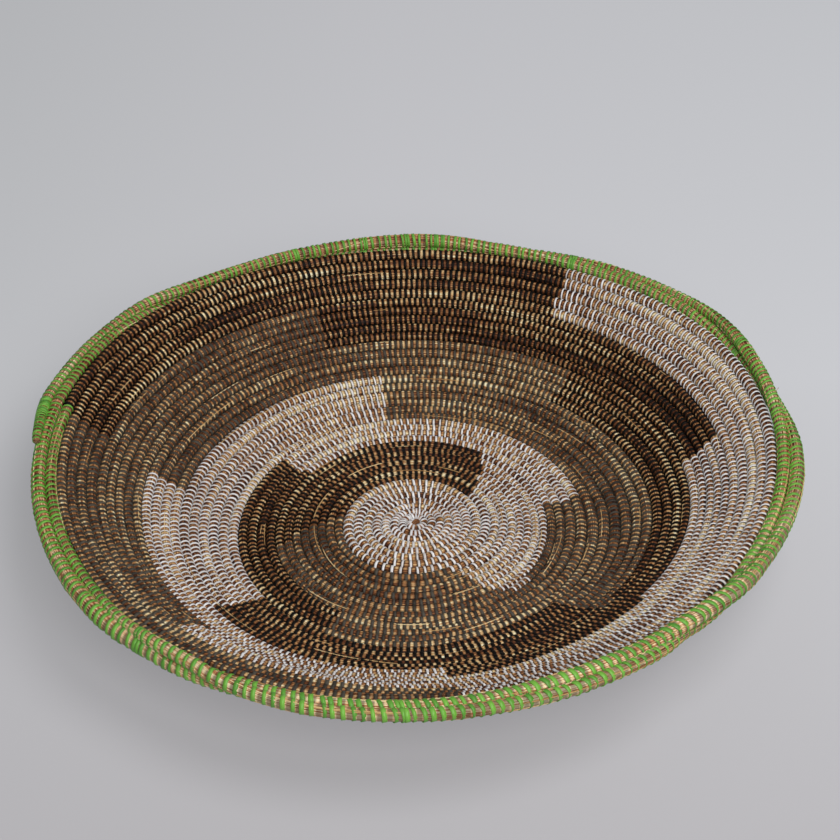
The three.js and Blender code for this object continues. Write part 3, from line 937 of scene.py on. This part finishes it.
# turn of the spiral where a straw begins, and its length
straw_places = [(rng.uniform(9, 39), rng.uniform(10, 40)) for _ in range(straws_on_wall)]
straw_places += [(22.43, 95), (24.42, 130), (25.46, 70), (20.41, 60)]
for turn, length in straw_places:
    turns = turn + np.linspace(0, length / (2 * math.pi * radius_at(turn)), max(6, int(length / 3)))
    middle, across, up, along, width = round_frame(turns)
    turned = rng.uniform(0.9, 2.3) + np.linspace(0, rng.normal(0, wall_wander), len(turns))
    lift = low_lift if length < long_straw else high_lift
    wall_paths.append(round_bundle(middle, across, up, width / 2 + lift, coil_thickness / 2 + lift, turned))
keep(lay_stalks("wall_straws", wall_paths, wall_stalk, loose_straw), "coil_wall_top", "grass")
hairs = []
for azimuth, length, rise in hair_places:
    share = ((azimuth - rim_azimuth) % 360) / 360
    middle, across, up, along, wide, high = [part[0] for part in at_shares(np.array([share]), False)]
    way = unit(hair_outward * ways_of(azimuth)[0] + rise * upright + rng.normal(0, hair_aside) * along)
    steps = np.linspace(0, length, 7)[:, None]
    hairs.append(middle + up * high * 0.9 + way * steps - hair_sag * upright * steps**2)
keep(lay_stalks("rim_hairs", hairs, hair, loose_straw), "rim_strand_first", "grass")
print("loose straws", 2 * straws_on_strand + len(wall_paths), "hairs", len(hairs))

# %% [markdown]
# ## Start and end of the bundle
# In the middle of the base the bundle begins as a short brown knot. It dips in the middle, and
# both of its ends reach up to the first round. At the rim the bundle's end is thinned and wound
# closely with green strip, more closely at the start than at the tip.

# %% The start knot
knot_reach, knot_dip = (2.6, 2.8), 2.2
knot_half_rule = [(-1, 1.3), (-0.6, 1.9), (0.6, 2.0), (1, 1.4)]
knot_run = np.linspace(-1, 1, 26)
knot_middle = np.stack([knot_reach[0] * knot_run, knot_reach[1] * knot_run,
                        knot_dip - knot_dip * knot_run**2], -1)
knot_middle = knot_middle + np.append(axis_place[:2], round_frame([1.0])[0][0, 2])
along, across, up = level_ways(knot_middle)
half = rule_at(knot_half_rule, knot_run)
piece = wind("start_knot_grass", knot_middle, across, up, half, half, knot_run + 1.3, knot_grass)
keep(piece, "start_knot", "grass_knot")

# %% The closing lashing
wraps, crowding, last_wrap_back = 18, 1.25, 0.0006
lash_loop, lash_strip, lash_thickness, over_tip = 6.0, 2.3, 0.6, 0.25
lash_lean, lash_lean_uneven, lash_uneven, narrowest_wrap = 1.0, 1.2, 0.0002, 0.7
tip_counts_round = 300
tip_shares = np.linspace(lashing_share, tail_share, 60)
middle, across, up, along, wide, high = at_shares(tip_shares, True)
piece = wind("rim_end_grass", middle, across, up, wide, high, tip_shares * tip_counts_round, rim_grass,
             ring=rim_ring)
keep(piece, "rim_end_lashing", "green_strip")
lashed = tail_share - last_wrap_back - lashing_share
lash_places = lashing_share + lashed * np.linspace(0, 1, wraps) ** crowding
lash_places = lash_places + rng.normal(0, lash_uneven, wraps)
lean = lash_lean + rng.normal(0, lash_lean_uneven, wraps)
scale = np.linspace(1.0, narrowest_wrap, wraps)
piece = sew_rim("rim_end_lashing_sewn", lash_places, True, lean, scale, over_tip, 50,
                lash_loop, lash_strip, lash_thickness)
keep(piece, "rim_end_lashing", "green_strip")
print("wraps on the thin end", wraps)

# %% [markdown]
# ## Handing the pieces over
# Every piece rides on the basket's one body and stands for its CAD nodes.

# %% Bodies and nodes
for piece, nodes, slot in made_pieces:
    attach(piece, "root")
    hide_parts(*nodes)
faces = sum(len(piece.data.polygons) for piece, _, _ in made_pieces)
print("pieces", len(made_pieces), "faces", faces)

# %% [markdown]
# ## Floor, light and camera
# The basket stands on a plain pale floor under two broad soft lamps, one overhead and one in
# front, with even light from all round. The front one lights the far wall more than the near
# one. The floor shows the camera a pale backdrop of its own, with painted shade: a little darker
# to the left, where the light falls off, and darker towards the near side, where the basket's
# shadow falls. It also keeps part of the basket's real shadow. The camera looks down at about 39.5
# degrees from 2 m with a long lens, as the photograph was taken.

# %% The floor
def floor_material():
    material, tree, shader = new_material("pale_paper_floor")
    where = add(tree, "ShaderNodeTexCoord").outputs["Object"]
    ways = add(tree, "ShaderNodeSeparateXYZ", {0: where}).outputs
    # painted shade on the floor: darker to the left where the light falls off, and towards the near side
    # where the basket's shadow falls
    rightward, backward = remap(tree, ways["X"], -0.4, 0.4), remap(tree, ways["Y"], -2.5, -1.8)
    colour = ramp_of(tree, rightward, [(0.0, "#C6C7CA"), (0.45, "#CECED2"), (1.0, "#D0D1D5")])
    colour = add(tree, "ShaderNodeMix", {0: backward, 6: linear("#B2AFB2"), 7: colour},
                 data_type="RGBA").outputs[2]
    feed(tree, shader, {"Base Color": colour, "Roughness": 0.8})
    backdrop = step(tree, "ShaderNodeEmission", {"Color": colour, "Strength": 1.0})
    rays = add(tree, "ShaderNodeLightPath").outputs
    seen = calc(tree, "MAXIMUM", rays["Is Camera Ray"], rays["Is Glossy Ray"])
    share = calc(tree, "MULTIPLY", seen, 0.5)
    both = step(tree, "ShaderNodeMixShader", {0: share, 1: shader.outputs[0], 2: backdrop})
    feed(tree, tree.nodes["Material Output"], {"Surface": both})
    return material


bpy.ops.mesh.primitive_plane_add(size=12, location=(0, 2, 0))
floor = bpy.context.object
floor.name = "floor"
floor.data.materials.append(floor_material())


# %% The lamps and the world
def lamp(name, place, size, power):
    """A round lamp that shines on the middle of the basket's base."""
    data = bpy.data.lights.new(name, "AREA")
    data.shape = "DISK"
    data.size = size
    data.energy = power
    holder = bpy.data.objects.new(name, data)
    holder.location = place
    holder.rotation_euler = (-Vector(place)).to_track_quat("-Z", "Y").to_euler()
    scene.collection.objects.link(holder)


lamp("soft_lamp_overhead", (0.9, -0.5, 2.3), 1.5, 27)
lamp("soft_fill_in_front", (0.5, -2.2, 1.9), 1.4, 44)
world = bpy.data.worlds.new("even_room_light")
scene.world = world
world.use_nodes = True
feed(world.node_tree, world.node_tree.nodes["Background"], {"Color": (0.95, 0.97, 1.0, 1), "Strength": 0.23})

# %% The camera
base_middle = Vector((-0.00178, -0.00083, 0.0112))
camera_away = Vector((0.002017, -1.547248, 1.274169))
camera_tilt, camera_roll = 0.650807, -0.001051
camera_data = bpy.data.cameras.new("camera")
camera_data.sensor_width = 36
camera_data.lens = 114.55
camera_data.clip_end = 50
camera = bpy.data.objects.new("camera", camera_data)
camera.location = base_middle + camera_away
camera.rotation_euler = (math.radians(90) - camera_tilt, 0, camera_roll)
scene.collection.objects.link(camera)
scene.camera = camera
scene.view_settings.view_transform = "Standard"
